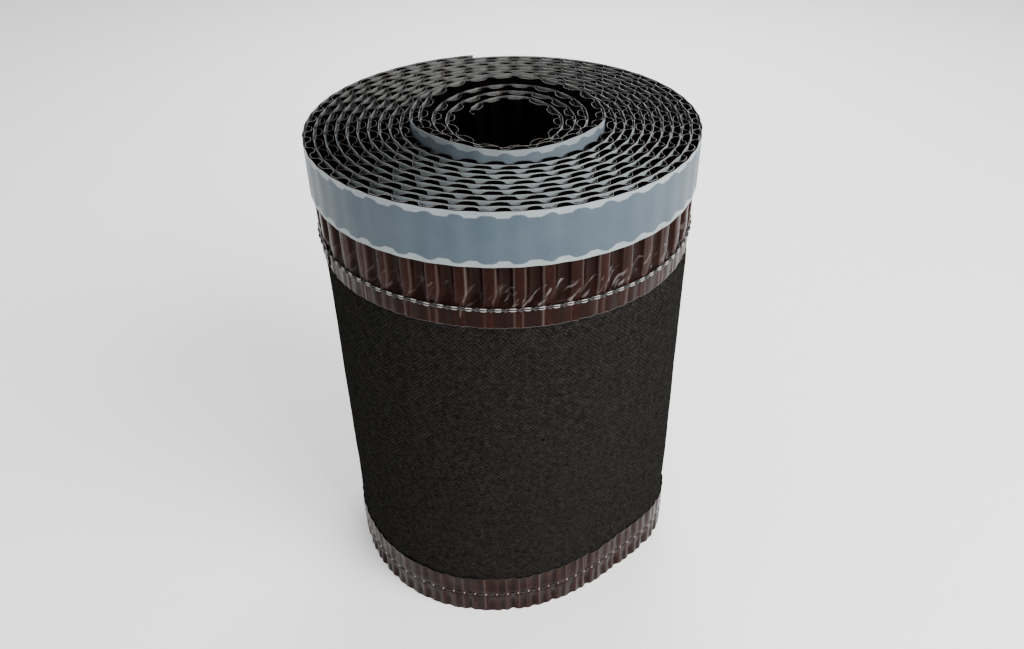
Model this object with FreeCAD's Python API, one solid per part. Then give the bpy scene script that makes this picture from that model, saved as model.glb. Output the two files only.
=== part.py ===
import FreeCAD, Part
import math
import os

# Roll of ventilated ridge and hip flashing, standing on end.
# About five metres of one composite strip are wound on themselves with an open bore: a black
# nonwoven band, a pleated lacquered foil strip sewn along each of its edges, and a butyl strip under
# a pale release liner on the outward face of the upper foil strip.
# Millimetres, +Z up, origin on the roll's axis in the plane that it stands on.

# Wound roll, with its turns counted inwards from the tail
roll_height = 240.0
outer_radius = 90.5
flat_pitch = 4.44
flat_turn_count = 10.15
tail_angle = 100.0
core_shift = 4.0

# Inner coil, wound looser, which has slipped up out of the flat turns
coil_pitch = 5.7
coil_turn_count = 4.05
coil_lift = 6.0
coil_settling = 0.55
coil_gap = 0.6

# Pleated foil strips
pleat_pitch = 12.0
pleat_web = 0.6
upper_flat_width = 4.2
upper_strip_width = 53.6
upper_pinch_height = 5.0
outer_loop_width = 4.4
lower_strip_width = 25.0
lower_flat_width = 8.6
lower_pleat_depth = 1.2

# Adhesive strip and its release liner
liner_width = 24.0
liner_thickness = 0.25
butyl_width = 19.0
butyl_thickness = 0.9
tape_clearance = 0.3

# Outermost turn of the band, drawn in towards its tail
band_inset_tail = 3.4
band_inset_least = 0.9

# Dent in the lower end, at the right of the front, given as compass angles from +X
dent_depth = 10.8
dent_angle = 310.0
dent_left_span = 90.0
dent_right_span = 38.0

# Sewn seams
thread_thickness = 0.9
thread_height = 1.4
upper_seam_from_edge = 9.2
lower_seam_from_edge = 12.0

# Turns showing on the bottom end
bottom_groove_depth = 4.0
bottom_groove_width = 1.2
bottom_groove_step = 24.0

turn_count = flat_turn_count + coil_turn_count
tape_thickness = butyl_thickness + liner_thickness
strip_base_height = roll_height - upper_strip_width
upper_seam_height = strip_base_height + upper_seam_from_edge
lower_seam_height = lower_strip_width - lower_seam_from_edge
tape_bottom = roll_height - liner_width
coil_top = roll_height + coil_lift


def spiral_radius(turn):
    flat = min(turn, flat_turn_count)
    return outer_radius - flat_pitch * flat - coil_pitch * (turn - flat)


def spiral_point(turn, inset):
    """A point on the winding, so many turns in from the tail, set in from its outward face."""
    radius = spiral_radius(turn) - inset
    angle = math.radians(tail_angle + 360.0 * turn)
    shift = core_shift * turn / turn_count
    return FreeCAD.Vector(shift + radius * math.cos(angle), radius * math.sin(angle), 0.0)


def dent_at(turn):
    """How far the lower end is pressed in at a place on the winding, less and less inwards."""
    offset = (tail_angle + 360.0 * turn - dent_angle + 180.0) % 360.0 - 180.0
    share = offset / (dent_right_span if offset > 0.0 else dent_left_span)
    if abs(share) >= 1.0 or turn >= flat_turn_count:
        return 0.0
    inner = 1.0 - turn / flat_turn_count
    return dent_depth * inner * math.cos(0.5 * math.pi * share) ** 2


def dented_point(turn, inset):
    return spiral_point(turn, inset + dent_at(turn))


def band_point(turn, inset):
    """A point on the outermost turn of the band, where no dent reaches."""
    drawn_in = max(band_inset_least, band_inset_tail * (1.0 - turn))
    return spiral_point(turn, inset + drawn_in)


def dented_band_point(turn, inset):
    return band_point(turn, inset + dent_at(turn))


def turns_by_length(step):
    """Turn numbers along the whole winding, so many millimetres apart, for flat faces between."""
    turns = [0.0]
    while turns[-1] < turn_count:
        turns.append(turns[-1] + step / (2.0 * math.pi * spiral_radius(turns[-1])))
    return turns


winding = turns_by_length(pleat_pitch)
coarse_winding = turns_by_length(bottom_groove_step)


def stretch(first, last, turns=winding):
    """The part of a winding between two turn numbers, each moved to the nearest of its corners."""
    begin = min(range(len(turns)), key=lambda index: abs(turns[index] - first))
    end = min(range(len(turns)), key=lambda index: abs(turns[index] - last))
    return turns[begin:end + 1]


def outline(points, height):
    wire = Part.makePolygon(points + [points[0]])
    wire.translate(FreeCAD.Vector(0, 0, height))
    return wire


def prism(points, bottom, top):
    """A straight solid over a closed outline."""
    return Part.Face(outline(points, bottom)).extrude(FreeCAD.Vector(0, 0, top - bottom))


def ribbon(turns, inset, thickness, bottom, top, place=spiral_point):
    """A strip standing on edge that follows the winding."""
    outer = [place(turn, inset) for turn in turns]
    inner = [place(turn, inset + thickness) for turn in reversed(turns)]
    return prism(outer + inner, bottom, top)


def whole_turn(first, inset, bottom, top):
    """A solid inside one whole turn of the winding, closed by the step at its start."""
    return prism([spiral_point(turn, inset) for turn in stretch(first, first + 1.0)], bottom, top)


def pleated_line(turns, place, face, depth, flat_width, loop_width):
    """The outward side of a pleated strip: a flat between each two corners, a loop at each corner."""
    margin = 0.5 * (1.0 - flat_width / pleat_pitch)
    half_loop = 0.5 * loop_width / pleat_pitch
    points = []
    for before, after in zip(turns, turns[1:]):
        start = place(before, face)
        along = place(after, face) - start
        points.append(place(before, face + depth) + along * half_loop)
        points.append(start + along * margin)
        points.append(start + along * (1.0 - margin))
        if half_loop > 0.0:
            points.append(place(after, face + depth) - along * half_loop)
    points.append(place(turns[-1], face + depth))
    return points


def bore(bottom, top):
    """The open core, bounded by the inward side of the last turn."""
    return whole_turn(turn_count - 1.0, coil_pitch - tape_clearance, bottom, top)


def coil_levels():
    """Where each turn of the inner coil starts, and how far it stands above the flat turns."""
    return [(flat_turn_count + index, coil_lift * coil_settling ** index)
            for index in range(int(coil_turn_count))]


def pleat_room(first, last, pitch):
    """Room for the tape and for the loops behind it, cut down into the solid turns."""
    turns = stretch(first, last)
    depth = pitch - tape_thickness - tape_clearance - pleat_web
    outer = [spiral_point(turn, -tape_clearance) for turn in turns]
    inner = pleated_line(turns, spiral_point, tape_thickness, depth, upper_flat_width, 0.0)
    return prism(outer + inner[::-1], tape_bottom, coil_top)


def upper_edge_strip():
    depth = flat_pitch - tape_thickness - tape_clearance - pleat_web
    outermost = pleated_line(stretch(0.0, 1.0), spiral_point, tape_thickness, depth,
                             upper_flat_width, outer_loop_width)
    pinch_top = upper_seam_height + upper_pinch_height
    body = whole_turn(0.0, tape_thickness, strip_base_height, pinch_top)
    body = body.fuse(prism(outermost, pinch_top, roll_height))
    body = body.cut(whole_turn(flat_turn_count, -coil_gap, tape_bottom, coil_top))
    coil = whole_turn(flat_turn_count, tape_thickness, tape_bottom, coil_top)
    for first, lift in coil_levels()[1:]:
        coil = coil.cut(whole_turn(first, -tape_clearance, roll_height + lift, coil_top + 1.0))
    body = body.fuse(coil)
    body = body.cut(pleat_room(1.0, flat_turn_count, flat_pitch))
    body = body.cut(pleat_room(flat_turn_count, turn_count, coil_pitch))
    body = body.cut(bore(strip_base_height - 1.0, coil_top + 1.0))
    return body.removeSplitter()


def wound_tape(inset, thickness, width, from_edge):
    """A tape on the winding's outward face, level on the flat turns and raised on the coil."""
    top = roll_height - from_edge
    tape = ribbon(stretch(0.0, flat_turn_count), inset, thickness, top - width, top)
    starts = coil_levels()
    ends = [first for first, lift in starts[1:]] + [turn_count]
    for (first, lift), last in zip(starts, ends):
        raised = ribbon(stretch(first, last), inset, thickness, top - width + lift, top + lift)
        tape = tape.fuse(raised)
    return tape.removeSplitter()


def nonwoven_band():
    turns = stretch(0.0, 1.0)
    lower = outline([dented_band_point(turn, 0.0) for turn in turns], lower_strip_width)
    upper = outline([band_point(turn, 0.0) for turn in turns], strip_base_height)
    band = Part.makeLoft([lower, upper], True, True)
    return band.cut(bore(lower_strip_width - 1.0, strip_base_height + 1.0))


def lower_edge_strip():
    """Shallow pleats stand all round, and the ends of the turns show as a spiral underneath."""
    edge = pleated_line(stretch(0.0, 1.0), dented_band_point, 0.0, lower_pleat_depth,
                        lower_flat_width, 0.0)
    body = prism(edge, 0.0, lower_strip_width)
    turns = stretch(1.1, turn_count, coarse_winding)
    groove = ribbon(turns, 0.0, bottom_groove_width, -1.0, bottom_groove_depth, dented_point)
    body = body.cut(groove)
    return body.cut(bore(-1.0, lower_strip_width + 1.0))


def upper_seam_thread():
    bottom = upper_seam_height - thread_height / 2.0
    inset = tape_thickness - thread_thickness
    return ribbon(stretch(0.0, 1.0), inset, thread_thickness, bottom, bottom + thread_height)


def lower_seam_thread():
    bottom = lower_seam_height - thread_height / 2.0
    return ribbon(stretch(0.0, 1.0), -thread_thickness, thread_thickness, bottom,
                  bottom + thread_height, dented_band_point)


nodes = {
    "nonwoven_band": nonwoven_band(),
    "upper_edge_strip": upper_edge_strip(),
    "lower_edge_strip": lower_edge_strip(),
    "butyl_strip": wound_tape(liner_thickness, butyl_thickness, butyl_width,
                              (liner_width - butyl_width) / 2.0),
    "release_liner": wound_tape(0.0, liner_thickness, liner_width, 0.0),
    "upper_seam_thread": upper_seam_thread(),
    "lower_seam_thread": lower_seam_thread(),
}

os.makedirs("parts", exist_ok=True)
for name, shape in nodes.items():
    print(name, len(shape.Solids), "solids", len(shape.Faces), "faces", round(shape.Volume),
          shape.isValid(), shape.BoundBox)
    shape.exportStep("parts/" + name + ".step")
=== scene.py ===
import math
import random

import bpy
from mathutils import Matrix, Vector, noise


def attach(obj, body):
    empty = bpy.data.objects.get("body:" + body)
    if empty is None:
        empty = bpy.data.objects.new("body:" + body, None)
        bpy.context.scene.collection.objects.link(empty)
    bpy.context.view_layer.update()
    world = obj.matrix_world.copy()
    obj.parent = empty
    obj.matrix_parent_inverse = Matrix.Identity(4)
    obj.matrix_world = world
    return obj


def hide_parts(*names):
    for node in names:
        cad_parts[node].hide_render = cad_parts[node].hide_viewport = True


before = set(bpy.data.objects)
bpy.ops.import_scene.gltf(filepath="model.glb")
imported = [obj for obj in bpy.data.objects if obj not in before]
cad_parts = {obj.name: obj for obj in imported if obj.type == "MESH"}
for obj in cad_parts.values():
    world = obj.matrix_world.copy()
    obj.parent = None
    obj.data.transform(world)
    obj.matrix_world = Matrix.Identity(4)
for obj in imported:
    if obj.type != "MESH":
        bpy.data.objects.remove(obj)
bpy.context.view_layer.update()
MM = 0.001

# Camera. It stands 377 mm in front of the roll's axis and looks down at its upper end, with a short
# lens, so that the roll narrows towards the floor.
SENSOR_WIDTH = 36.0
FOCAL_LENGTH = 31.06
CAMERA_DISTANCE = 0.37686
CAMERA_HEIGHT = 0.39315
CAMERA_YAW = math.radians(0.249)
CAMERA_PITCH = math.radians(35.22)
CAMERA_ROLL = math.radians(-1.215)


def add_camera():
    forward = Vector((math.sin(CAMERA_YAW) * math.cos(CAMERA_PITCH),
                      math.cos(CAMERA_YAW) * math.cos(CAMERA_PITCH),
                      -math.sin(CAMERA_PITCH)))
    level = Vector((math.cos(CAMERA_YAW), -math.sin(CAMERA_YAW), 0.0))
    upright = level.cross(forward)
    right = math.cos(CAMERA_ROLL) * level + math.sin(CAMERA_ROLL) * upright
    up = math.cos(CAMERA_ROLL) * upright - math.sin(CAMERA_ROLL) * level
    data = bpy.data.cameras.new("photo_camera")
    data.sensor_width = SENSOR_WIDTH
    data.lens = FOCAL_LENGTH
    data.clip_start = 0.01
    camera = bpy.data.objects.new("photo_camera", data)
    bpy.context.collection.objects.link(camera)
    turned = Matrix((right, up, -forward)).transposed()
    camera.matrix_world = Matrix.Translation((0.0, -CAMERA_DISTANCE, CAMERA_HEIGHT)) @ turned.to_4x4()
    bpy.context.scene.camera = camera


add_camera()


# Floor and light. A plain pale floor and a pale sky all round, with a broad soft light over the
# right shoulder, one behind, a weak one on the left, and a small one that glints on the foil.
FLOOR_RADIUS = 3.0
FLOOR_COLOUR = (0.94, 0.94, 0.935, 1.0)
FLOOR_GLOW = 0.36
SKY_COLOUR = (1.0, 1.0, 1.0, 1.0)
SKY_STRENGTH = 0.58
LIGHTS = (
    ("window_light", (0.75, -0.55, 0.95), 0.7, 26.0),
    ("back_light", (0.15, 0.95, 0.85), 0.8, 14.0),
    ("left_light", (-1.1, -0.35, 0.55), 0.8, 0.9),
    ("glint_light", (0.42, -0.80, 0.62), 0.09, 3.0),
)


def add_floor():
    mesh = bpy.data.meshes.new("floor")
    sides = 64
    ring = [(FLOOR_RADIUS * math.cos(2 * math.pi * i / sides),
             FLOOR_RADIUS * math.sin(2 * math.pi * i / sides), 0.0) for i in range(sides)]
    mesh.from_pydata(ring, [], [list(range(sides))])
    floor = bpy.data.objects.new("floor", mesh)
    bpy.context.collection.objects.link(floor)
    material = bpy.data.materials.new("pale_floor")
    material.use_nodes = True
    surface = material.node_tree.nodes["Principled BSDF"]
    surface.inputs["Base Color"].default_value = FLOOR_COLOUR
    surface.inputs["Roughness"].default_value = 0.7
    surface.inputs["Emission Color"].default_value = FLOOR_COLOUR
    surface.inputs["Emission Strength"].default_value = FLOOR_GLOW
    mesh.materials.append(material)


def add_lights():
    for name, place, size, power in LIGHTS:
        data = bpy.data.lights.new(name, "AREA")
        data.shape = "DISK"
        data.size = size
        data.energy = power
        lamp = bpy.data.objects.new(name, data)
        bpy.context.collection.objects.link(lamp)
        lamp.location = place
        aim = Vector((0.0, 0.0, 0.14)) - Vector(place)
        lamp.rotation_euler = aim.to_track_quat("-Z", "Y").to_euler()
    world = bpy.data.worlds.new("pale_sky")
    world.use_nodes = True
    sky = world.node_tree.nodes["Background"]
    sky.inputs["Color"].default_value = SKY_COLOUR
    sky.inputs["Strength"].default_value = SKY_STRENGTH
    bpy.context.scene.world = world


add_floor()
add_lights()


# Nonwoven band. One sheet of black spunbonded polypropylene, 5.2 m long, wound on itself. It carries
# a foil strip on each edge and shows between them on the outermost turn. Its lower end is pressed in
# at the right of the front.
ROLL_HEIGHT = 240.0 * MM
OUTER_RADIUS = 90.5 * MM
FLAT_PITCH = 4.44 * MM
FLAT_TURNS = 10.15
COIL_PITCH = 5.7 * MM
COIL_TURNS = 4.05
TAIL_ANGLE = 100.0
CORE_SHIFT = 4.0 * MM
PLEAT_PITCH = 12.0 * MM
FIRST_FLAT = 0.5
COIL_RADIUS = OUTER_RADIUS - FLAT_PITCH * FLAT_TURNS
FLAT_LENGTH = math.pi * FLAT_TURNS * (OUTER_RADIUS + COIL_RADIUS)
COIL_LENGTH = math.pi * COIL_TURNS * (2 * COIL_RADIUS - COIL_PITCH * COIL_TURNS)
STRIP_LENGTH = FLAT_LENGTH + COIL_LENGTH
# The turns whose sides can be seen; the sheets further in are made coarser
SHOWN_TURNS = 1.12
BAND_ROWS = 60
BAND_STEPS = 6

BAND_BOTTOM = 14.0 * MM
BAND_TOP = 197.0 * MM
BAND_THICKNESS = 0.35 * MM
BAND_INSET_TAIL = 3.4 * MM
BAND_INSET_LEAST = 0.9 * MM
BAND_INSET_UNDER_FOIL = 2.5 * MM
UPPER_STRIP_BOTTOM = 186.4 * MM
LOWER_STRIP_TOP = 25.0 * MM
DENT_DEPTH = 10.8 * MM
DENT_ANGLE = 310.0
DENT_LEFT_SPAN = 90.0
DENT_RIGHT_SPAN = 38.0
NONWOVEN_DARK = (0.0018, 0.0018, 0.0016)
NONWOVEN_LIGHT = (0.0102, 0.0098, 0.0091)
FIBRE_COLOUR = (0.0385, 0.0370, 0.0345, 1.0)
FIBRE_ANGLES = (58.0, -55.0, 24.0, -18.0)
# One run of fibres, in millimetres along it and across it
FIBRE_SIZE = (4.2, 0.34, 1.0)
BOND_PITCH = 2.1
BOND_SHOWS = 0.75
FIBRE_SEEN = (0.52, 0.80)
# Its bulges, wide and small, and its gathers beside the two foil strips
WIDE_PUFF = 0.45 * MM
SMALL_PUFF = 0.12 * MM
GATHER = 0.3 * MM
GATHER_REACH = 9 * MM


def turn_at(length):
    """The turn number where so much of the strip has been wound, from the tail inwards."""
    first, radius, pitch = 0.0, OUTER_RADIUS, FLAT_PITCH
    if length > FLAT_LENGTH:
        first, radius, pitch = FLAT_TURNS, COIL_RADIUS, COIL_PITCH
        length -= FLAT_LENGTH
    return first + (radius - math.sqrt(radius * radius - pitch * length / math.pi)) / pitch


def wound(turn, inset, height):
    """A point on the winding, so many turns in from the tail and set in from its outward face."""
    flat = min(turn, FLAT_TURNS)
    radius = OUTER_RADIUS - FLAT_PITCH * flat - COIL_PITCH * (turn - flat) - inset
    angle = math.radians(TAIL_ANGLE + 360.0 * turn)
    shift = CORE_SHIFT * turn / (FLAT_TURNS + COIL_TURNS)
    return (shift + radius * math.cos(angle), radius * math.sin(angle), height)


def pleats_along(length):
    """Pleats along the strip, a whole number where a flat of the foil touches the tape."""
    return length / PLEAT_PITCH - FIRST_FLAT


def smooth_step(share):
    share = min(max(share, 0.0), 1.0)
    return share * share * (3 - 2 * share)


def dent_at(turn):
    """How far the lower end is pressed in at a place on the winding, less and less inwards."""
    offset = (TAIL_ANGLE + 360.0 * turn - DENT_ANGLE + 180.0) % 360.0 - 180.0
    share = offset / (DENT_RIGHT_SPAN if offset > 0.0 else DENT_LEFT_SPAN)
    if abs(share) >= 1.0 or turn >= FLAT_TURNS:
        return 0.0
    return DENT_DEPTH * (1.0 - turn / FLAT_TURNS) * math.cos(0.5 * math.pi * share) ** 2


def band_inset(turn, height):
    """How far the band lies inside the winding's outward face."""
    drawn_in = max(BAND_INSET_LEAST, BAND_INSET_TAIL * (1.0 - turn))
    covered = smooth_step((height - UPPER_STRIP_BOTTOM) / (9 * MM) + 1.0)
    drawn_in += (max(drawn_in, BAND_INSET_UNDER_FOIL) - drawn_in) * covered
    lowered = (UPPER_STRIP_BOTTOM - height) / (UPPER_STRIP_BOTTOM - LOWER_STRIP_TOP)
    return drawn_in + dent_at(turn) * min(max(lowered, 0.0), 1.0)


def strip_mesh(name, front, back, across, along):
    """A closed thin solid between two grids of points: columns run along the strip, rows down it.
    Its map has pleats along and millimetres down from the roll's upper edge."""
    columns = len(front)
    rows = len(front[0])
    points = [p for column in front for p in column] + [p for column in back for p in column]
    offset = columns * rows
    faces = []
    for i in range(columns - 1):
        for j in range(rows - 1):
            a = i * rows + j
            b = a + rows
            faces.append((a, a + 1, b + 1, b))
            faces.append((offset + a, offset + b, offset + b + 1, offset + a + 1))
        for j, flip in ((0, False), (rows - 1, True)):
            a = i * rows + j
            b = a + rows
            rim = (a, b, offset + b, offset + a)
            faces.append(rim[::-1] if flip else rim)
    for i, flip in ((0, True), (columns - 1, False)):
        for j in range(rows - 1):
            a = i * rows + j
            rim = (a, offset + a, offset + a + 1, a + 1)
            faces.append(rim[::-1] if flip else rim)
    mesh = bpy.data.meshes.new(name)
    mesh.from_pydata(points, [], faces)
    layer = mesh.uv_layers.new(name="strip")
    values = []
    for loop in mesh.loops:
        index = loop.vertex_index % offset
        values.append(along[index // rows])
        values.append(across[index % rows])
    layer.data.foreach_set("uv", values)
    mesh.validate()
    mesh.shade_smooth()
    mesh.set_sharp_from_angle(angle=math.radians(50))
    piece = bpy.data.objects.new(name, mesh)
    bpy.context.collection.objects.link(piece)
    return piece


def add_node(nodes, kind, **values):
    """A node with its plain properties and the starting values of its sockets, by name."""
    node = nodes.new(kind)
    for key, value in values.items():
        if hasattr(node, key):
            setattr(node, key, value)
        else:
            node.inputs[key.replace("_", " ")].default_value = value
    return node


def maths(nodes, links, operation, first, second=None, third=None):
    node = nodes.new("ShaderNodeMath")
    node.operation = operation
    for socket, value in zip(node.inputs, (first, second, third)):
        if isinstance(value, (int, float)):
            socket.default_value = value
        elif value is not None:
            links.new(value, socket)
    return node.outputs[0]


def blended(nodes, links, share, first, second):
    """Two colours mixed by a share; each of them is a socket or a plain colour."""
    mix = add_node(nodes, "ShaderNodeMix", data_type="RGBA")
    for socket, value in ((mix.inputs[0], share), (mix.inputs[6], first), (mix.inputs[7], second)):
        if isinstance(value, tuple):
            socket.default_value = value
        else:
            links.new(value, socket)
    return mix.outputs[2]


def effect_group(name, inputs, outputs):
    """An empty effect for materials: its node tree, the node that its sockets enter, and its end."""
    group = bpy.data.node_groups.new(name, "ShaderNodeTree")
    for title, kind, value in inputs:
        socket = group.interface.new_socket(title, in_out="INPUT", socket_type=kind)
        socket.default_value = value
    for title, kind in outputs:
        group.interface.new_socket(title, in_out="OUTPUT", socket_type=kind)
    return group, group.nodes.new("NodeGroupInput"), group.nodes.new("NodeGroupOutput")


def mottle_effect():
    """Two colours mixed by noise, which may be drawn out along one direction."""
    group, entry, result = effect_group(
        "mottle",
        (("Scale", "NodeSocketFloat", 100.0), ("Stretch", "NodeSocketVector", (1.0, 1.0, 1.0)),
         ("Low", "NodeSocketFloat", 0.3), ("High", "NodeSocketFloat", 0.7),
         ("Dark", "NodeSocketColor", (0, 0, 0, 1)), ("Light", "NodeSocketColor", (1, 1, 1, 1))),
        (("Colour", "NodeSocketColor"), ("Value", "NodeSocketFloat")))
    nodes, links = group.nodes, group.links
    place = nodes.new("ShaderNodeTexCoord")
    drawn = add_node(nodes, "ShaderNodeVectorMath", operation="MULTIPLY")
    links.new(place.outputs["Object"], drawn.inputs[0])
    links.new(entry.outputs["Stretch"], drawn.inputs[1])
    cloud = add_node(nodes, "ShaderNodeTexNoise", Detail=5.0, Roughness=0.65)
    links.new(drawn.outputs[0], cloud.inputs["Vector"])
    links.new(entry.outputs["Scale"], cloud.inputs["Scale"])
    spread = nodes.new("ShaderNodeMapRange")
    links.new(cloud.outputs["Fac"], spread.inputs["Value"])
    links.new(entry.outputs["Low"], spread.inputs["From Min"])
    links.new(entry.outputs["High"], spread.inputs["From Max"])
    colour = blended(nodes, links, spread.outputs["Result"], entry.outputs["Dark"],
                     entry.outputs["Light"])
    links.new(colour, result.inputs["Colour"])
    links.new(spread.outputs["Result"], result.inputs["Value"])
    return group


def crinkle_effect():
    """A surface that noise makes uneven."""
    group, entry, result = effect_group(
        "crinkle",
        (("Scale", "NodeSocketFloat", 100.0), ("Strength", "NodeSocketFloat", 0.5),
         ("Distance", "NodeSocketFloat", 0.0003)),
        (("Normal", "NodeSocketVector"),))
    nodes, links = group.nodes, group.links
    place = nodes.new("ShaderNodeTexCoord")
    folds = add_node(nodes, "ShaderNodeTexNoise", Detail=4.0, Roughness=0.55)
    links.new(place.outputs["Object"], folds.inputs["Vector"])
    links.new(entry.outputs["Scale"], folds.inputs["Scale"])
    bump = nodes.new("ShaderNodeBump")
    links.new(folds.outputs["Fac"], bump.inputs["Height"])
    links.new(entry.outputs["Strength"], bump.inputs["Strength"])
    links.new(entry.outputs["Distance"], bump.inputs["Distance"])
    links.new(bump.outputs["Normal"], result.inputs["Normal"])
    return group


def strip_place_effect():
    """Where a point lies on the strip: pleats along it, and millimetres down from the roll's top."""
    group, _, result = effect_group(
        "strip_place", (), (("Along", "NodeSocketFloat"), ("Down", "NodeSocketFloat")))
    place = add_node(group.nodes, "ShaderNodeUVMap", uv_map="strip")
    parts = group.nodes.new("ShaderNodeSeparateXYZ")
    group.links.new(place.outputs["UV"], parts.inputs[0])
    group.links.new(parts.outputs["X"], result.inputs["Along"])
    group.links.new(parts.outputs["Y"], result.inputs["Down"])
    return group


def runs_effect():
    """Long narrow marks on the strip that all run one way, of a size in millimetres."""
    group, entry, result = effect_group(
        "runs",
        (("Turn", "NodeSocketVector", (0.0, 0.0, 0.0)), ("Size", "NodeSocketVector", (4.0, 0.5, 1.0)),
         ("Low", "NodeSocketFloat", 0.5), ("High", "NodeSocketFloat", 0.8)),
        (("Value", "NodeSocketFloat"),))
    nodes, links = group.nodes, group.links
    place = add_node(nodes, "ShaderNodeUVMap", uv_map="strip")
    flat = add_node(nodes, "ShaderNodeVectorMath", operation="MULTIPLY")
    flat.inputs[1].default_value = (PLEAT_PITCH / MM, 1.0, 1.0)
    links.new(place.outputs["UV"], flat.inputs[0])
    turned = add_node(nodes, "ShaderNodeMapping", vector_type="TEXTURE")
    links.new(flat.outputs[0], turned.inputs["Vector"])
    links.new(entry.outputs["Turn"], turned.inputs["Rotation"])
    links.new(entry.outputs["Size"], turned.inputs["Scale"])
    marks = add_node(nodes, "ShaderNodeTexNoise", Scale=1.0, Detail=2.0, Distortion=0.15)
    links.new(turned.outputs["Vector"], marks.inputs["Vector"])
    seen = nodes.new("ShaderNodeMapRange")
    links.new(marks.outputs["Fac"], seen.inputs["Value"])
    links.new(entry.outputs["Low"], seen.inputs["From Min"])
    links.new(entry.outputs["High"], seen.inputs["From Max"])
    links.new(seen.outputs["Result"], result.inputs["Value"])
    return group


MOTTLE = mottle_effect()
CRINKLE = crinkle_effect()
STRIP_PLACE = strip_place_effect()
RUNS = runs_effect()


def add_effect(nodes, group, **values):
    node = nodes.new("ShaderNodeGroup")
    node.node_tree = group
    for key, value in values.items():
        node.inputs[key].default_value = value
    return node


def mottled_material(name, dark, light, scale, rough, **values):
    """A dull material in two mottled colours, with its surface node and its mottle effect."""
    material = bpy.data.materials.new(name)
    material.use_nodes = True
    nodes, links = material.node_tree.nodes, material.node_tree.links
    surface = nodes["Principled BSDF"]
    surface.inputs["Roughness"].default_value = rough
    mottle = add_effect(nodes, MOTTLE, Dark=(*dark, 1.0), Light=(*light, 1.0), Scale=scale, **values)
    links.new(mottle.outputs["Colour"], surface.inputs["Base Color"])
    return material, surface, mottle


def nonwoven_material():
    """Matt black filaments pressed flat: cloudy thin spots, paler runs of fibre across them, and
    rows of small dark points where they are bonded."""
    material, surface, cloud = mottled_material("black_nonwoven", NONWOVEN_DARK, NONWOVEN_LIGHT,
                                                380.0, 0.9, Low=0.32, High=0.72,
                                                Stretch=(1.0, 1.0, 0.6))
    nodes, links = material.node_tree.nodes, material.node_tree.links
    surface.inputs["Specular IOR Level"].default_value = 0.0
    fibres = 0.0
    for angle in FIBRE_ANGLES:
        run = add_effect(nodes, RUNS, Turn=(0.0, 0.0, math.radians(angle)), Size=FIBRE_SIZE,
                         Low=FIBRE_SEEN[0], High=FIBRE_SEEN[1])
        fibres = maths(nodes, links, "MAXIMUM", run.outputs["Value"], fibres)
    woven = blended(nodes, links, fibres, cloud.outputs["Colour"], FIBRE_COLOUR)
    place = add_effect(nodes, STRIP_PLACE)
    bonds = maths(nodes, links, "SINE", maths(nodes, links, "MULTIPLY", place.outputs["Along"],
                                              2 * math.pi * PLEAT_PITCH / MM / BOND_PITCH))
    rows = maths(nodes, links, "SINE", maths(nodes, links, "MULTIPLY", place.outputs["Down"],
                                             2 * math.pi / BOND_PITCH))
    bonds = maths(nodes, links, "MAXIMUM", maths(nodes, links, "MULTIPLY", bonds, rows), 0.0)
    bonds = maths(nodes, links, "MULTIPLY", bonds, BOND_SHOWS)
    colour = blended(nodes, links, bonds, woven, (*NONWOVEN_DARK, 1.0))
    links.new(colour, surface.inputs["Base Color"])
    crinkle = add_effect(nodes, CRINKLE, Scale=900.0, Strength=0.8, Distance=0.0006)
    links.new(crinkle.outputs["Normal"], surface.inputs["Normal"])
    return material


def nonwoven_band():
    heights = [BAND_TOP - (BAND_TOP - BAND_BOTTOM) * j / BAND_ROWS for j in range(BAND_ROWS + 1)]
    lengths = []
    length = 0.0
    while length < STRIP_LENGTH:
        lengths.append(length)
        length += PLEAT_PITCH / (BAND_STEPS if turn_at(length) < SHOWN_TURNS else 1)
    front = []
    back = []
    for length in lengths:
        turn = turn_at(length)
        outside = []
        inside = []
        for height in heights:
            puff = WIDE_PUFF * noise.noise(Vector((length * 45, height * 30, 0.0)))
            puff += SMALL_PUFF * noise.noise(Vector((length * 260, height * 190, 5.0)))
            near = min(abs(height - LOWER_STRIP_TOP), abs(height - UPPER_STRIP_BOTTOM))
            gathered = GATHER * max(0.0, 1 - near / GATHER_REACH)
            puff += gathered * math.cos(2 * math.pi * pleats_along(length))
            inset = band_inset(turn, height) - puff
            outside.append(wound(turn, inset, height))
            inside.append(wound(turn, inset + BAND_THICKNESS, height))
        front.append(outside)
        back.append(inside)
    down = [(ROLL_HEIGHT - height) / MM for height in heights]
    piece = strip_mesh("nonwoven_sheet", front, back, down, [pleats_along(x) for x in lengths])
    piece.data.materials.append(nonwoven_material())
    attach(piece, "root")
    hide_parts("nonwoven_band")


# Upper foil strip. Lacquered aluminium foil pleated like corrugated board: narrow flats touch the
# tape outside and rounded loops hang inwards. A seam pinches the pleats flat onto the band.
TAPE_THICKNESS = 1.15 * MM
FOIL_THICKNESS = 0.2 * MM
FOIL_SHORTER = 2 * MM
LOOP_DEPTH_FLAT = 3.0 * MM
LOOP_DEPTH_COIL = 3.3 * MM
FOIL_EDGE = 0.12
UPPER_SEAM = 195.6 * MM
UPPER_PINCH = 6.5 * MM
# The pinch: how much of it stays closed, how far a pleat leans over, and how it opens above
PINCH_CLOSED = 0.08
PINCH_LEAN = 0.26
PINCH_OPENING = 0.7
# The flattened folds under the seam, in millimetres, and the crumple in the middle of each pleat
FOLD_LEAST = 0.25
FOLD_SWING = 0.6
CRUMPLE_DEPTH = 0.6
CRUMPLE_WIDTH = 0.12
CRUMPLE_PLACE = 0.35
CRUMPLE_REACH = 0.4
OUTER_PLEATS = 47
STRIP_DEPTH = (ROLL_HEIGHT - UPPER_STRIP_BOTTOM) / MM
TAPE_WIDTH = 24.0
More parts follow.
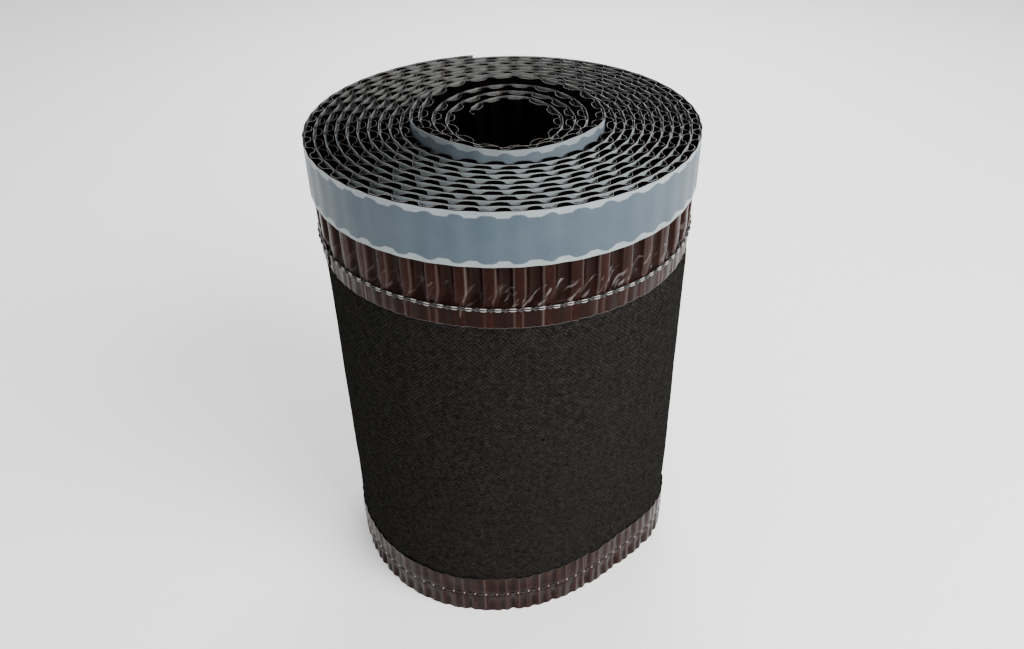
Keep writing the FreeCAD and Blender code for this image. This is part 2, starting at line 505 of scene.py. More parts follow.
# Rows of the foil's mesh, in millimetres down from its edge, close together near the seam
FOIL_TOP_ROWS = (FOIL_EDGE, FOIL_EDGE + 0.25, 1.5, 5.0, 11.0)
FINE_BELOW = 36.0
FINE_STEP = 0.8
COARSE_STEP = 2.2
# Painted shade: the foil behind the tape and all the inner turns are given near-black colours;
# the outer turn turns brown just above the tape's lower edge
SHADE_ENDS = 1.0
BROWN_DARK = (0.0075, 0.0015, 0.0009)
BROWN_LIGHT = (0.0215, 0.0050, 0.0031)
SHADE_DARK = (0.0012, 0.0010, 0.0009)
SHADE_LIGHT = (0.0035, 0.0027, 0.0024)
BRIGHT_EDGE = (0.12, 0.11, 0.105, 1.0)
# A darker copy of the bare cut edge, painted shade, for the inner turns and the lower strip
SHADED_EDGE = (0.030, 0.026, 0.022, 1.0)
CUT_SHOWS = 0.12
FOIL_TINT = (1.0, 0.62, 0.55, 1.0)
FOIL_IOR = 1.18
# Its swing between streaks, and its least
FOIL_ROUGHNESS = (0.16, 0.24)
# Painted shade in the hollow of each pleat: at most this share of the way to near-black
VALLEY_SHADE = 0.7
# Creases, paler partly from lacquer worn thin and partly from a painted highlight, as shares of a
# pleat from the middle of a flat
CREASE_WEAR_AND_HIGHLIGHT = (0.074, 0.055, 0.049, 1.0)
CREASE_PLACE = 0.20
CREASE_WIDTH = 0.085
# How strongly they show: the swing from pleat to pleat, its start and the least
CREASE_SWING = (4.0, -1.5)
CREASE_LEAST = 0.12
# Painted glints on the dents above the seam, in millimetres and millimetres down from the roll's top
GLINT_COLOUR = (0.240, 0.222, 0.212, 1.0)
GLINT_SIZE = (9.0, 2.0, 1.0)
GLINT_TURN = math.radians(-52.0)
GLINT_PLACE = 38.5
GLINT_REACH = 5.0
GLINT_SEEN = (0.57, 0.84)
# The pleats at the right of the front, facing the lights, where the painted glints are strongest
GLINT_PLEAT = 27.5
GLINT_PLEAT_REACH = 6.0
GLINT_ELSEWHERE = 0.3
# One pleat, as shares of its pitch along the strip and of its depth inwards
PLEAT_PROFILE = (
    (-0.14, 0.0), (-0.06, -0.02), (0.06, -0.02), (0.14, 0.0), (0.185, 0.06), (0.22, 0.18),
    (0.245, 0.36), (0.27, 0.58), (0.31, 0.80), (0.40, 0.96), (0.50, 1.0), (0.60, 0.96),
    (0.69, 0.80), (0.73, 0.58), (0.755, 0.36), (0.78, 0.18), (0.815, 0.06),
)
# The same for a turn inside the roll, where no tape is pulled tight over the loops
INNER_PROFILE = (
    (-0.07, 0.0), (0.0, -0.02), (0.07, 0.0), (0.125, 0.14), (0.165, 0.36), (0.20, 0.60), (0.25, 0.80),
    (0.35, 0.95), (0.50, 1.0), (0.65, 0.95), (0.75, 0.80), (0.80, 0.60), (0.835, 0.36),
    (0.875, 0.14),
)
# How far the edge of the inner coil stands above the flat turns, by turn number, in millimetres
COIL_LIFTS = (
    (10.04, 0.0), (10.14, 4.2), (10.22, 3.6), (10.35, 5.7), (10.47, 4.2), (10.60, 5.2), (10.72, 2.6),
    (10.85, 3.9), (10.97, 5.9), (11.10, 5.8), (11.22, 3.5), (11.47, 1.2), (11.72, 1.8), (11.97, 3.3),
    (12.22, 1.5), (12.47, -1.2), (12.72, 0.3), (12.97, 2.2), (13.22, 0.3), (13.47, -3.0),
    (13.72, -0.8), (13.97, 2.2), (14.25, 0.5),
)
# How far the coil's inner turns lie to the left, and its very end inwards
COIL_DRIFT = 2.2 * MM
COIL_DRIFT_TURNS = (10.8, 11.3)
END_CURL = 2.6 * MM
END_CURL_TURNS = (13.85, 14.2)


def coil_lift(turn):
    """The inner coil has slipped up out of the flat turns, and sinks towards the front."""
    if turn <= COIL_LIFTS[0][0]:
        return 0.0
    for (before, low), (after, high) in zip(COIL_LIFTS, COIL_LIFTS[1:]):
        if turn < after:
            return (low + (high - low) * smooth_step((turn - before) / (after - before))) * MM
    return COIL_LIFTS[-1][1] * MM


def share_between(turn, span):
    return smooth_step((turn - span[0]) / (span[1] - span[0]))


def lifted(turn, inset, height):
    """A point on the upper edge's winding, with the inner coil raised and moved."""
    inset += END_CURL * share_between(turn, END_CURL_TURNS)
    x, y, z = wound(turn, inset, height + coil_lift(turn))
    return (x - COIL_DRIFT * share_between(turn, COIL_DRIFT_TURNS), y, z)


def foil_wear_and_light_effect():
    """Marks on the lacquered foil: creases beside each flat, paler partly from wear and partly from a
    painted highlight; painted shade in the valleys; painted glints on the dents along the seam;
    near-black painted shade behind the tape; and bare metal where the foil is cut."""
    group, entry, result = effect_group(
        "foil_wear_and_painted_light",
        (("Lacquer", "NodeSocketColor", (0, 0, 0, 1)), ("Bare", "NodeSocketColor", (1, 1, 1, 1)),
         ("Crease", "NodeSocketFloat", 1.0), ("Folds", "NodeSocketFloat", 1.0),
         ("Ridge", "NodeSocketFloat", -0.5), ("Top", "NodeSocketFloat", 0.0),
         ("Bottom", "NodeSocketFloat", 50.0)),
        (("Colour", "NodeSocketColor"),))
    nodes, links = group.nodes, group.links
    place = add_effect(nodes, STRIP_PLACE)
    along, down = place.outputs["Along"], place.outputs["Down"]
    crease = entry.outputs["Crease"]

    # Creases: paler partly from lacquer worn thin, partly a painted highlight
    beside = maths(nodes, links, "PINGPONG", along, 0.5)
    beside = maths(nodes, links, "ABSOLUTE", maths(nodes, links, "SUBTRACT", beside, CREASE_PLACE))
    line = maths(nodes, links, "SUBTRACT", 1.0, maths(nodes, links, "DIVIDE", beside, CREASE_WIDTH))
    line = maths(nodes, links, "MAXIMUM", line, 0.0)
    line = maths(nodes, links, "MULTIPLY", line, line)
    some = add_node(nodes, "ShaderNodeTexNoise", noise_dimensions="1D", Scale=1.7, Detail=1.0)
    links.new(along, some.inputs["W"])
    some = maths(nodes, links, "MULTIPLY_ADD", some.outputs["Fac"], *CREASE_SWING)
    some = maths(nodes, links, "MAXIMUM", some, CREASE_LEAST)
    some = maths(nodes, links, "MULTIPLY", some, crease)
    wear_and_light = maths(nodes, links, "MULTIPLY", line, some)
    colour = blended(nodes, links, wear_and_light, entry.outputs["Lacquer"], CREASE_WEAR_AND_HIGHLIGHT)

    # Painted shade in the valleys between the flats
    turns = maths(nodes, links, "MULTIPLY", entry.outputs["Folds"], 2 * math.pi)
    wave = maths(nodes, links, "COSINE", maths(nodes, links, "MULTIPLY", along, turns))
    valley = maths(nodes, links, "MULTIPLY_ADD", wave, entry.outputs["Ridge"], 0.5)
    valley = maths(nodes, links, "MULTIPLY", valley, VALLEY_SHADE)
    colour = blended(nodes, links, valley, colour, (*SHADE_LIGHT, 1.0))

    # Painted glints on the dents along the seam, strongest at the right of the front
    glint_runs = add_effect(nodes, RUNS, Turn=(0.0, 0.0, GLINT_TURN), Size=GLINT_SIZE,
                       Low=GLINT_SEEN[0], High=GLINT_SEEN[1])
    near_seam = maths(nodes, links, "COMPARE", down, GLINT_PLACE, GLINT_REACH)
    glint_share = maths(nodes, links, "COMPARE", along, GLINT_PLEAT, GLINT_PLEAT_REACH)
    glint_share = maths(nodes, links, "MAXIMUM", glint_share, GLINT_ELSEWHERE)
    glint_share = maths(nodes, links, "MULTIPLY", glint_share, crease)
    near_seam = maths(nodes, links, "MULTIPLY", near_seam, glint_share)
    glint = maths(nodes, links, "MULTIPLY", glint_runs.outputs["Value"], near_seam)
    colour = blended(nodes, links, glint, colour, GLINT_COLOUR)

    # Painted shade: near black behind the tape
    behind = maths(nodes, links, "LESS_THAN", down, TAPE_WIDTH - SHADE_ENDS)
    colour = blended(nodes, links, behind, colour, (*SHADE_DARK, 1.0))
    above = maths(nodes, links, "ADD", entry.outputs["Top"], CUT_SHOWS)
    above = maths(nodes, links, "LESS_THAN", down, above)
    below = maths(nodes, links, "SUBTRACT", entry.outputs["Bottom"], CUT_SHOWS)
    below = maths(nodes, links, "GREATER_THAN", down, below)
    cut = maths(nodes, links, "MAXIMUM", above, below)
    colour = blended(nodes, links, cut, colour, entry.outputs["Bare"])
    links.new(colour, result.inputs["Colour"])
    return group


def foil_material(name, dark, light, **wear):
    """Lacquer over aluminium: glossy, and drawn out in streaks down the strip."""
    material, surface, streaks = mottled_material(name, dark, light, 260.0, 0.3,
                                                  Low=0.35, High=0.7, Stretch=(1.0, 1.0, 0.3))
    nodes, links = material.node_tree.nodes, material.node_tree.links
    surface.inputs["IOR"].default_value = FOIL_IOR
    surface.inputs["Specular Tint"].default_value = FOIL_TINT
    wear_and_light = add_effect(nodes, FOIL_WEAR_AND_LIGHT, **wear)
    links.new(streaks.outputs["Colour"], wear_and_light.inputs["Lacquer"])
    links.new(wear_and_light.outputs["Colour"], surface.inputs["Base Color"])
    rough = maths(nodes, links, "MULTIPLY_ADD", streaks.outputs["Value"], *FOIL_ROUGHNESS)
    links.new(rough, surface.inputs["Roughness"])
    crinkle = add_effect(nodes, CRINKLE, Scale=170.0, Strength=0.5, Distance=0.0005)
    links.new(crinkle.outputs["Normal"], surface.inputs["Normal"])
    return material


FOIL_WEAR_AND_LIGHT = foil_wear_and_light_effect()
brown_foil = foil_material("brown_lacquered_foil", BROWN_DARK, BROWN_LIGHT, Bare=BRIGHT_EDGE,
                           Top=FOIL_EDGE, Bottom=STRIP_DEPTH)
# The inner turns in painted shade: the same foil in near-black colours, with no crease marks
shaded_inner_foil = foil_material("inner_foil_painted_shade", SHADE_DARK, SHADE_LIGHT, Bare=SHADED_EDGE,
                           Crease=0.0, Top=FOIL_EDGE, Bottom=STRIP_DEPTH)


def pleat_columns(profile, first, last, seed, unevenness):
    """Where each column of the pleated strip stands: its pleat and share of it, the length wound,
    and the share of the pleat's depth inwards."""
    draw = random.Random(seed)
    columns = []
    for pleat in range(first, last):
        depth = draw.uniform(1.0 - unevenness, 1.0)
        lean = draw.uniform(-0.25, 0.25) * unevenness
        width = draw.uniform(1.0 - 0.5 * unevenness, 1.0 + 0.3 * unevenness)
        for share, inwards in profile:
            moved = 0.5 + (share - 0.5) * width if share > 0.2 else share
            length = (pleat + FIRST_FLAT + moved + lean * inwards) * PLEAT_PITCH
            if 0.0 <= length < STRIP_LENGTH - FOIL_SHORTER:
                columns.append((pleat, share, length, inwards * depth))
    return columns


def loop_depth(turn):
    return LOOP_DEPTH_FLAT if turn < FLAT_TURNS else LOOP_DEPTH_COIL


def foil_inner_turns(first_pleat):
    down = (*FOIL_TOP_ROWS, 20.0, 32.0)
    last_pleat = int(STRIP_LENGTH / PLEAT_PITCH)
    columns = pleat_columns(INNER_PROFILE, first_pleat, last_pleat, 11, 0.16)
    front = []
    back = []
    for pleat, share, length, inwards in columns:
        turn = turn_at(length)
        outside = []
        inside = []
        for depth in down:
            wobble = 0.12 * MM * noise.noise(Vector((length * 300, depth * 0.3, 9.0)))
            inset = TAPE_THICKNESS + inwards * loop_depth(turn) + wobble
            outside.append(lifted(turn, inset, ROLL_HEIGHT - depth * MM))
            inside.append(lifted(turn, inset + FOIL_THICKNESS, ROLL_HEIGHT - depth * MM))
        front.append(outside)
        back.append(inside)
    piece = strip_mesh("upper_foil_inner_turns", front, back, down,
                       [pleats_along(column[2]) for column in columns])
    piece.data.materials.append(shaded_inner_foil)
    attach(piece, "root")
    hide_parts("upper_edge_strip")


def outer_pleat(share, length, inwards, height, facet):
    """The outermost turn: full pleats above, pinched to a point by the seam, flat folds below it."""
    reach, fold, phase = facet
    above = (height - UPPER_SEAM) / UPPER_PINCH
    open_share = min(max((above - PINCH_CLOSED) / (1.0 - PINCH_CLOSED), 0.0), 1.0)
    pinch = 1.0 - open_share
    if share > 0.1:
        lean = PINCH_LEAN * reach * max(0.0, 1.0 - (share - 0.1) / 0.5)
        length -= pinch * PLEAT_PITCH * lean
    flat = FOLD_LEAST + FOLD_SWING * fold * abs(math.sin(math.pi * (share * 2 + phase)))
    crumple = max(0.0, 1.0 - abs(share - 0.5 - CRUMPLE_WIDTH * phase) / CRUMPLE_WIDTH)
    crumple *= max(0.0, 1 - abs(above - CRUMPLE_PLACE) / CRUMPLE_REACH)
    flat -= CRUMPLE_DEPTH * crumple
    depth = inwards * loop_depth(0.0) * open_share ** PINCH_OPENING + max(flat, 0.0) * pinch * MM
    return max(length, 0.0), depth


def foil_outer_turn(last_pleat):
    draw = random.Random(5)
    facets = [(draw.uniform(0.5, 1.2), draw.uniform(0.4, 1.2), draw.uniform(-0.3, 0.3))
              for _ in range(last_pleat)]
    down = [*FOIL_TOP_ROWS, 18.0, 23.0]
    row = 25.0
    while row < STRIP_DEPTH:
        down.append(row)
        row += FINE_STEP if row > FINE_BELOW else COARSE_STEP
    down.append(STRIP_DEPTH)
    columns = pleat_columns(PLEAT_PROFILE, 0, last_pleat, 7, 0.14)
    front = []
    back = []
    for pleat, share, length, inwards in columns:
        outside = []
        inside = []
        for depth_down in down:
            height = ROLL_HEIGHT - depth_down * MM
            moved, depth = outer_pleat(share, length, inwards, height, facets[pleat])
            wobble = 0.18 * MM * noise.noise(Vector((length * 150, depth_down * 0.15, 2.0)))
            inset = TAPE_THICKNESS + depth + wobble
            turn = turn_at(moved)
            outside.append(wound(turn, inset, height))
            inside.append(wound(turn, inset + FOIL_THICKNESS, height))
        front.append(outside)
        back.append(inside)
    piece = strip_mesh("upper_foil_outer_turn", front, back, down,
                       [pleats_along(column[2]) for column in columns])
    piece.data.materials.append(brown_foil)
    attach(piece, "root")
    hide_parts("upper_edge_strip")


foil_outer_turn(OUTER_PLEATS)
foil_inner_turns(OUTER_PLEATS)


# Lower foil strip. The same pleated foil on the lower edge. Its seam and 25 mm of it show outside
# the band, pressed nearly flat above the seam and in shallow flutes below it, where the roll stands.
LOWER_SEAM = 13.0 * MM
LOWER_OFFSET = 0.9 * MM
LOWER_FLUTE = 1.5 * MM
LOWER_DARK = (0.0072, 0.0023, 0.0018)
LOWER_LIGHT = (0.0240, 0.0072, 0.0055)
# Rows of its mesh below its upper edge, in millimetres above the floor
LOWER_ROWS = (24.2, 23, 21, 19, 17, 15.5, 14.4, 13, 11.6, 10.4, 8.5, 6.5, 4.5, 2.2, 0)
LOWER_PUCKER = 0.35 * MM
LOWER_WOBBLE = 0.5 * MM
LOWER_EDGES = ((ROLL_HEIGHT - LOWER_STRIP_TOP) / MM, ROLL_HEIGHT / MM)
# One flute, as shares of a pleat along the strip and of its depth inwards
FLUTE_PROFILE = (
    (-0.36, 0.42), (-0.28, 0.10), (-0.20, 0.0), (-0.12, 0.08), (-0.05, 0.35), (0.02, 0.46),
    (0.09, 0.30), (0.15, 0.05), (0.22, 0.0), (0.29, 0.14), (0.36, 0.5), (0.43, 0.86), (0.50, 1.0),
    (0.57, 0.80),
)
# The same for a turn inside the roll, where only its lowest edge shows
HIDDEN_PROFILE = ((-0.36, 0.42), (-0.20, 0.0), (0.02, 0.46), (0.18, 0.0), (0.36, 0.5), (0.50, 1.0))


def lower_foil_strip():
    draw = random.Random(21)
    heights = [LOWER_STRIP_TOP] + [height * MM for height in LOWER_ROWS]
    front = []
    back = []
    along = []
    for pleat in range(int(STRIP_LENGTH / PLEAT_PITCH)):
        facet = draw.uniform(0.55, 1.25)
        skew = draw.uniform(-0.06, 0.06)
        top_wave = draw.uniform(-0.9, 0.5) * MM
        shown = turn_at(pleat * PLEAT_PITCH) < SHOWN_TURNS
        for share, inwards in FLUTE_PROFILE if shown else HIDDEN_PROFILE:
            length = (pleat + FIRST_FLAT + share + skew * math.cos(math.pi * share)) * PLEAT_PITCH
            turn = turn_at(length)
            swell = math.cos(math.pi * share)
            outside = []
            inside = []
            for height in heights:
                over = smooth_step((height - LOWER_SEAM) / (9 * MM))
                under = smooth_step((LOWER_SEAM - height) / (7 * MM))
                under -= 0.45 * smooth_step(1.0 - height / (5 * MM))
                depth = inwards * LOWER_FLUTE * facet * (0.16 + 0.2 * over + 0.84 * under)
                pucker = LOWER_PUCKER * max(0.0, 1.0 - abs(height - LOWER_SEAM) / (1.6 * MM))
                wobble = LOWER_WOBBLE * noise.noise(Vector((length * 60, height * 90, 4.0)))
                inset = band_inset(turn, height) - LOWER_OFFSET + wobble + depth + pucker
                rise = top_wave * swell * smooth_step((height - 19 * MM) / (6 * MM))
                outside.append(wound(turn, inset, height + rise))
                inside.append(wound(turn, inset + FOIL_THICKNESS, height + rise))
            front.append(outside)
            back.append(inside)
            along.append(pleats_along(length))
    piece = strip_mesh("lower_foil_pleats", front, back,
                       [(ROLL_HEIGHT - height) / MM for height in heights], along)
    # Fainter crease marks, and painted shade in the hollows of its flutes, two to a pleat
    piece.data.materials.append(foil_material("dusty_lacquered_foil", LOWER_DARK, LOWER_LIGHT,
                                              Bare=SHADED_EDGE, Crease=0.6, Folds=2.0, Ridge=0.5,
                                              Top=LOWER_EDGES[0], Bottom=LOWER_EDGES[1]))
    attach(piece, "root")
    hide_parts("lower_edge_strip")


lower_foil_strip()
nonwoven_band()


# Butyl strip. A tacky dark strip, 19 mm wide, rolled onto the outward face of the upper foil. It has
# crept out at each pleat that presses on it, so both its edges are scalloped.
BUTYL_INSET = 0.24 * MM
BUTYL_BACK = 1.05 * MM
BUTYL_MARGIN = 2.8
BUTYL_BOTTOM = TAPE_WIDTH - BUTYL_MARGIN
BUTYL_CREEP = 1.5
# How far the tape stands in over a loop, and how far it ends before the strip does
TAPE_SAG = 0.28 * MM
TAPE_SHORTER = 8.0 * MM
TAPE_STEPS = 8
BUTYL_DARK = (0.012, 0.015, 0.019)
BUTYL_LIGHT = (0.026, 0.032, 0.039)


def butyl_edge(length):
    """How far the butyl has crept past its straight edge, in millimetres, most at each pleat."""
    pressed = math.cos(2 * math.pi * pleats_along(length))
    return BUTYL_CREEP * max(0.0, (pressed - 0.1) / 0.9) ** 0.8


def tape_sag(length):
    """The tape is drawn straight between the flats of the foil, so it stands in over each loop."""
    return TAPE_SAG * (1 - math.cos(2 * math.pi * pleats_along(length))) / 2


def tape_lengths():
    count = int((STRIP_LENGTH - TAPE_SHORTER) / PLEAT_PITCH * TAPE_STEPS)
    return [PLEAT_PITCH * i / TAPE_STEPS for i in range(count)]


def butyl_strip():
    front = []
    back = []
    lengths = tape_lengths()
    for length in lengths:
        turn = turn_at(length)
        creep = butyl_edge(length)
        sag = tape_sag(length)
        outside = []
        inside = []
        for depth in (BUTYL_MARGIN - creep, BUTYL_BOTTOM + creep):
            outside.append(lifted(turn, BUTYL_INSET + sag, ROLL_HEIGHT - depth * MM))
            inside.append(lifted(turn, BUTYL_BACK + sag, ROLL_HEIGHT - depth * MM))
        front.append(outside)
        back.append(inside)
    piece = strip_mesh("butyl_bead", front, back, (BUTYL_MARGIN, BUTYL_BOTTOM),
                       [pleats_along(length) for length in lengths])
    material, surface, _ = mottled_material("dark_butyl", BUTYL_DARK, BUTYL_LIGHT, 160.0, 0.45)
    surface.inputs["Specular IOR Level"].default_value = 0.35
    piece.data.materials.append(material)
    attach(piece, "root")
    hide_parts("butyl_strip")


butyl_strip()


# Release liner. A pale siliconised film, 24 mm wide, over the butyl until the strip is laid. The
# dark butyl shows through it as blue grey, and bare film shows along both its edges.
LINER_THICKNESS = 0.16 * MM
FILM_DARK = (0.200, 0.230, 0.240)
FILM_LIGHT = (0.265, 0.300, 0.310)
COVERED_DARK = (0.046, 0.068, 0.088, 1.0)
COVERED_LIGHT = (0.064, 0.088, 0.110, 1.0)
SHADED_FILM = (0.022, 0.019, 0.016, 1.0)
# Where the tape stops standing free on the outermost turn, in pleats along the strip
OUTER_TAPE_END = 45.5
# The front of the coil's first turn, which stands free again
COIL_SHOWS = (pleats_along(FLAT_LENGTH) - 2.0, pleats_along(FLAT_LENGTH) + 17.0)
# A lighter copy of the covered film, painted light, on the front of the coil's first turn
COIL_LIT_COVERED = (0.098, 0.122, 0.144, 1.0)
# The film's back in painted shade: darker copies of the film's colours
BACK_DARK = (0.075, 0.074, 0.071)
BACK_LIGHT = (0.150, 0.150, 0.146)
# How much painted shade each millimetre down adds, on the film and on its back
FILM_GROWTH = 0.17
BACK_GROWTH = 0.45
BACK_MOST = 0.97
# The painted shade on the film's back: its swing from loop to flat, and its middle
BACK_WAVE = (0.65, 0.2)
# The butyl's edge: how it drifts along, how its bulges grow, their narrowness above and below, the
# power of their rounding, and the softness of the line in millimetres
EDGE_DRIFT = (0.3, -0.15)
EDGE_SWELL = (0.9, 0.55)
EDGE_NARROWNESS = (-0.35, -0.6)
EDGE_ROUNDING = 0.75
EDGE_SOFTNESS = 0.14


def film_shade_effect():
    """Painted shade on film deep in the roll, growing with each millimetre down from the roll's top.
    """
    group, entry, result = effect_group(
        "film_shade",
        (("Film", "NodeSocketColor", (1, 1, 1, 1)), ("Shade", "NodeSocketColor", (0, 0, 0, 1)),
         ("Start", "NodeSocketFloat", 0.0), ("Growth", "NodeSocketFloat", 0.2),
         ("Most", "NodeSocketFloat", 1.0), ("Amount", "NodeSocketFloat", 1.0)),
        (("Colour", "NodeSocketColor"),))
    nodes, links = group.nodes, group.links
    place = add_effect(nodes, STRIP_PLACE)
    deep = maths(nodes, links, "MULTIPLY_ADD", place.outputs["Down"], entry.outputs["Growth"],
                 entry.outputs["Start"])
    deep = maths(nodes, links, "MINIMUM", deep, entry.outputs["Most"])
    deep = maths(nodes, links, "MULTIPLY", deep, entry.outputs["Amount"])
    colour = blended(nodes, links, deep, entry.outputs["Film"], entry.outputs["Shade"])
    links.new(colour, result.inputs["Colour"])
    return group


FILM_SHADE = film_shade_effect()


def liner_material():
    """Bare film, except where the butyl behind it darkens it; the butyl's edge bulges at each flat
    of the foil, narrower above than below. On the inner turns painted shade darkens the film more
    and more further down; on the front of the coil's first turn the covered film is painted lighter."""
    material, surface, film = mottled_material("release_film", FILM_DARK, FILM_LIGHT, 60.0, 0.42)
    nodes, links = material.node_tree.nodes, material.node_tree.links
    surface.inputs["IOR"].default_value = 1.3
    place = add_effect(nodes, STRIP_PLACE)
    wander = add_node(nodes, "ShaderNodeTexNoise", noise_dimensions="1D", Scale=2.3, Detail=2.0)
    links.new(place.outputs["Along"], wander.inputs["W"])
    drift = maths(nodes, links, "MULTIPLY_ADD", wander.outputs["Fac"], *EDGE_DRIFT)
    along = maths(nodes, links, "ADD", place.outputs["Along"], drift)
    pressed = maths(nodes, links, "COSINE", maths(nodes, links, "MULTIPLY", along, 2 * math.pi))
    swell = maths(nodes, links, "MULTIPLY_ADD", wander.outputs["Fac"], *EDGE_SWELL)
    reach = maths(nodes, links, "MULTIPLY", swell, BUTYL_CREEP)
    edges = []
    for narrow in EDGE_NARROWNESS:
        lobe = maths(nodes, links, "MULTIPLY_ADD", pressed, 1.0 / (1.0 - narrow),
                     -narrow / (1.0 - narrow))
        lobe = maths(nodes, links, "MAXIMUM", lobe, 0.0)
        lobe = maths(nodes, links, "POWER", lobe, EDGE_ROUNDING)
        edges.append(maths(nodes, links, "MULTIPLY", lobe, reach))
    top = maths(nodes, links, "SUBTRACT", BUTYL_MARGIN, edges[0])
    past_top = maths(nodes, links, "SUBTRACT", place.outputs["Down"], top)
    bottom = maths(nodes, links, "ADD", edges[1], BUTYL_BOTTOM)
    past_bottom = maths(nodes, links, "SUBTRACT", bottom, place.outputs["Down"])
    inside = maths(nodes, links, "MINIMUM", past_top, past_bottom)
    covered = nodes.new("ShaderNodeMapRange")
    covered.inputs["From Min"].default_value = -EDGE_SOFTNESS
    covered.inputs["From Max"].default_value = EDGE_SOFTNESS
    links.new(inside, covered.inputs["Value"])
    behind = add_effect(nodes, MOTTLE, Scale=60.0, Dark=COVERED_DARK, Light=COVERED_LIGHT)
    # On the front of the coil's first turn the covered film is painted lighter and gets no painted
    # shade
    on_coil = maths(nodes, links, "COMPARE", place.outputs["Along"], sum(COIL_SHOWS) / 2,
                 (COIL_SHOWS[1] - COIL_SHOWS[0]) / 2)
    dark = blended(nodes, links, on_coil, behind.outputs["Colour"], COIL_LIT_COVERED)
    colour = blended(nodes, links, covered.outputs["Result"], film.outputs["Colour"], dark)
    shaded = maths(nodes, links, "SUBTRACT",
                   maths(nodes, links, "GREATER_THAN", place.outputs["Along"], OUTER_TAPE_END),
                   on_coil)
    dimmed = add_effect(nodes, FILM_SHADE, Growth=FILM_GROWTH, Shade=SHADED_FILM)
    links.new(shaded, dimmed.inputs["Amount"])
    links.new(colour, dimmed.inputs["Film"])
    links.new(dimmed.outputs["Colour"], surface.inputs["Base Color"])
    crinkle = add_effect(nodes, CRINKLE, Scale=130.0, Strength=0.12, Distance=0.0004)
    links.new(crinkle.outputs["Normal"], surface.inputs["Normal"])
    return material


def film_back_material():
    """The back of the film, in painted shade: darker than the film, darkest at the foil's flats and
    further down, pale only near the edge in the hollow of each loop.
    """
    material, surface, film = mottled_material("film_back_painted_shade", BACK_DARK, BACK_LIGHT, 200.0, 0.6)
    nodes, links = material.node_tree.nodes, material.node_tree.links
    dimmed = add_effect(nodes, FILM_SHADE, Growth=BACK_GROWTH, Most=BACK_MOST,
                        Shade=(*SHADE_LIGHT, 1.0))
    place = add_effect(nodes, STRIP_PLACE)
    wave = maths(nodes, links, "COSINE", maths(nodes, links, "MULTIPLY", place.outputs["Along"],
                                               2 * math.pi))
    flat_shade = maths(nodes, links, "MULTIPLY_ADD", wave, *BACK_WAVE)
    flat_shade = maths(nodes, links, "MAXIMUM", flat_shade, 0.0)
    links.new(flat_shade, dimmed.inputs["Start"])
    links.new(film.outputs["Colour"], dimmed.inputs["Film"])
    links.new(dimmed.outputs["Colour"], surface.inputs["Base Color"])
    return material


def release_liner():
    front = []
    back = []
    lengths = tape_lengths()
    down = (0.0, 0.25, 1.5, 6.0, 12.0, 18.0, 23.0, TAPE_WIDTH)
    for length in lengths:
        turn = turn_at(length)
        outside = []
        inside = []
        taut = tape_sag(length)
        for depth in down:
            waver = 0.16 * MM * noise.noise(Vector((length * 110, depth * 0.04, 1.0)))
            inset = max(0.0, taut + waver)
            outside.append(lifted(turn, inset, ROLL_HEIGHT - depth * MM))
            inside.append(lifted(turn, inset + LINER_THICKNESS, ROLL_HEIGHT - depth * MM))
        front.append(outside)
        back.append(inside)
    piece = strip_mesh("release_film_liner", front, back, down,
                       [pleats_along(length) for length in lengths])
    piece.data.materials.append(liner_material())
    piece.data.materials.append(film_back_material())
    outward = len(lengths) * len(down)
    for face in piece.data.polygons:
        face.material_index = 1 if max(face.vertices) >= outward else 0
    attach(piece, "root")
    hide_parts("release_liner")


release_liner()


# Seams. Each foil strip is sewn to the band with a black chain stitch. Its loops lie in pairs over
# the foil, with a twisted black knot between them. The loops, and the dots of the lower seam, are
# given a pale grey: a painted highlight on the black thread.
STITCH_PITCH = PLEAT_PITCH / 2


def thread_run(points, radius, sides, vertices, faces):
    """Adds one length of thread as a tapering tube through the points, closed at both ends."""
    first = len(vertices)
    count = len(points)
    for i, point in enumerate(points):
        before = Vector(points[max(i - 1, 0)])
        after = Vector(points[min(i + 1, count - 1)])
        forward = (after - before).normalized()
        outward = Vector((point[0], point[1], 0.0)).normalized()
        side = forward.cross(outward).normalized()
        outward = side.cross(forward)
        share = math.sin(math.pi * (0.12 + 0.76 * i / (count - 1)))
        for k in range(sides):
            angle = 2 * math.pi * k / sides
            offset = (side * math.cos(angle) + outward * math.sin(angle)) * radius * share
            vertices.append(tuple(Vector(point) + offset))
    for i in range(count - 1):
        for k in range(sides):
            a = first + i * sides + k
            b = first + i * sides + (k + 1) % sides
            faces.append((a, b, b + sides, a + sides))
    faces.append(tuple(first + k for k in reversed(range(sides))))
    faces.append(tuple(first + (count - 1) * sides + k for k in range(sides)))


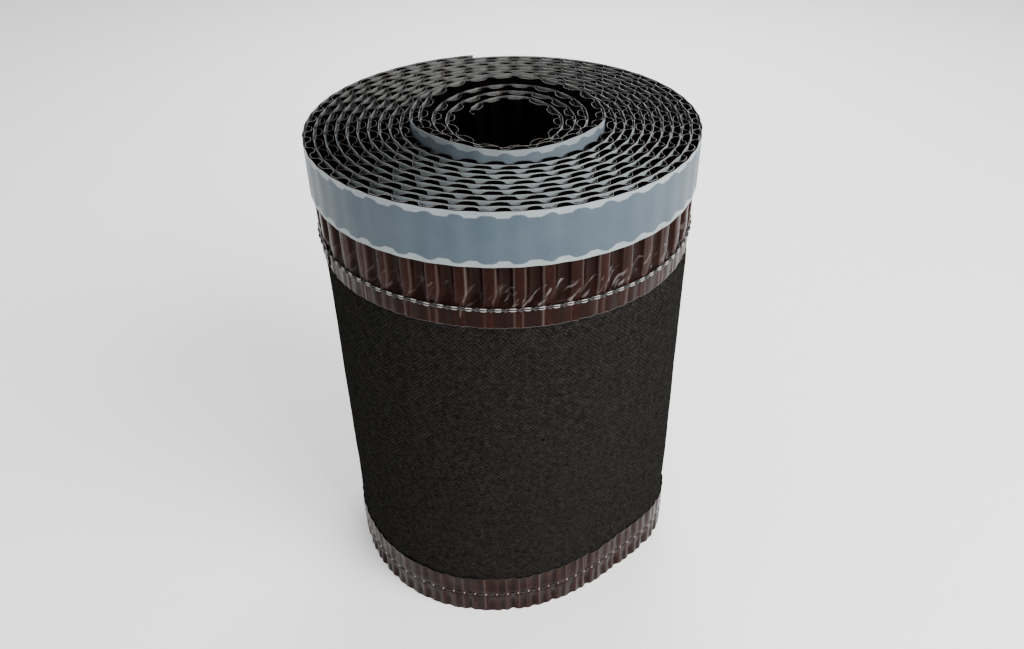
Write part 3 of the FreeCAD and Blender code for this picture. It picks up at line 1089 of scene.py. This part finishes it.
def sewn_seam(name, node, height, inset_of, runs, material):
    """A row of stitches round the outermost turn; each run is a length of thread in one stitch."""
    vertices = []
    faces = []
    draw = random.Random(name)
    count = int(2 * math.pi * OUTER_RADIUS * 0.985 / STITCH_PITCH)
    for stitch in range(count):
        middle = (stitch + 0.5) * STITCH_PITCH
        jump = draw.uniform(-0.15, 0.15) * MM
        for along, across, proud, radius in runs:
            points = []
            for i in range(len(along)):
                length = middle + along[i] * MM + draw.uniform(-0.08, 0.08) * MM
                level = height + across[i] * MM + jump
                turn = turn_at(length)
                points.append(wound(turn, inset_of(turn, level) - proud[i] * MM, level))
            thread_run(points, radius * MM, 6, vertices, faces)
    mesh = bpy.data.meshes.new(name)
    mesh.from_pydata(vertices, [], faces)
    mesh.validate()
    mesh.shade_smooth()
    piece = bpy.data.objects.new(name, mesh)
    bpy.context.collection.objects.link(piece)
    mesh.materials.append(material)
    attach(piece, "root")
    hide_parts(node)


def upper_face(turn, height):
    return TAPE_THICKNESS + 0.25 * MM


def lower_face(turn, height):
    return band_inset(turn, height) - LOWER_OFFSET + 0.3 * MM


DASH_RUNS = (
    ((-1.9, -0.7, 0.7, 1.9), (0.35, 0.62, 0.60, 0.30), (0.1, 0.5, 0.5, 0.1), 0.24),
    ((-1.9, -0.7, 0.7, 1.9), (-0.40, -0.52, -0.55, -0.35), (0.1, 0.45, 0.45, 0.1), 0.22),
)
KNOT_RUNS = (
    ((1.3, 2.3, 3.2, 4.5), (0.9, 0.2, -0.6, -0.2), (0.1, 0.6, 0.5, 0.1), 0.46),
    ((1.3, 2.4, 3.4, 4.5), (-0.8, 0.1, 0.8, 0.3), (0.1, 0.5, 0.6, 0.1), 0.42),
    ((-2.2, -0.8, 0.8, 2.2), (0.0, 0.05, 0.05, 0.0), (0.0, 0.25, 0.25, 0.0), 0.32),
)
DOT_RUNS = (
    ((-0.35, 0.0, 0.35), (-0.3, 0.1, 0.5), (0.0, 0.3, 0.0), 0.36),
)
LOWER_KNOT_RUNS = (
    ((1.0, 2.3, 3.2, 5.0), (0.3, 0.0, -0.2, 0.1), (-0.1, 0.25, 0.25, -0.1), 0.3),
)
# Pale grey thread for the loops and dots: a painted highlight on the black thread
highlit_thread = mottled_material("thread_painted_highlight", (0.22, 0.215, 0.205), (0.42, 0.41, 0.40),
                                1500.0, 0.4)[0]
black_thread = mottled_material("black_thread", (0.008, 0.0075, 0.007), (0.016, 0.015, 0.014),
                                1500.0, 0.6)[0]
sewn_seam("upper_seam_loops", "upper_seam_thread", UPPER_SEAM, upper_face, DASH_RUNS, highlit_thread)
sewn_seam("upper_seam_knots", "upper_seam_thread", UPPER_SEAM, upper_face, KNOT_RUNS, black_thread)
sewn_seam("lower_seam_dots", "lower_seam_thread", LOWER_SEAM, lower_face, DOT_RUNS, highlit_thread)
sewn_seam("lower_seam_knots", "lower_seam_thread", LOWER_SEAM, lower_face, LOWER_KNOT_RUNS,
          black_thread)
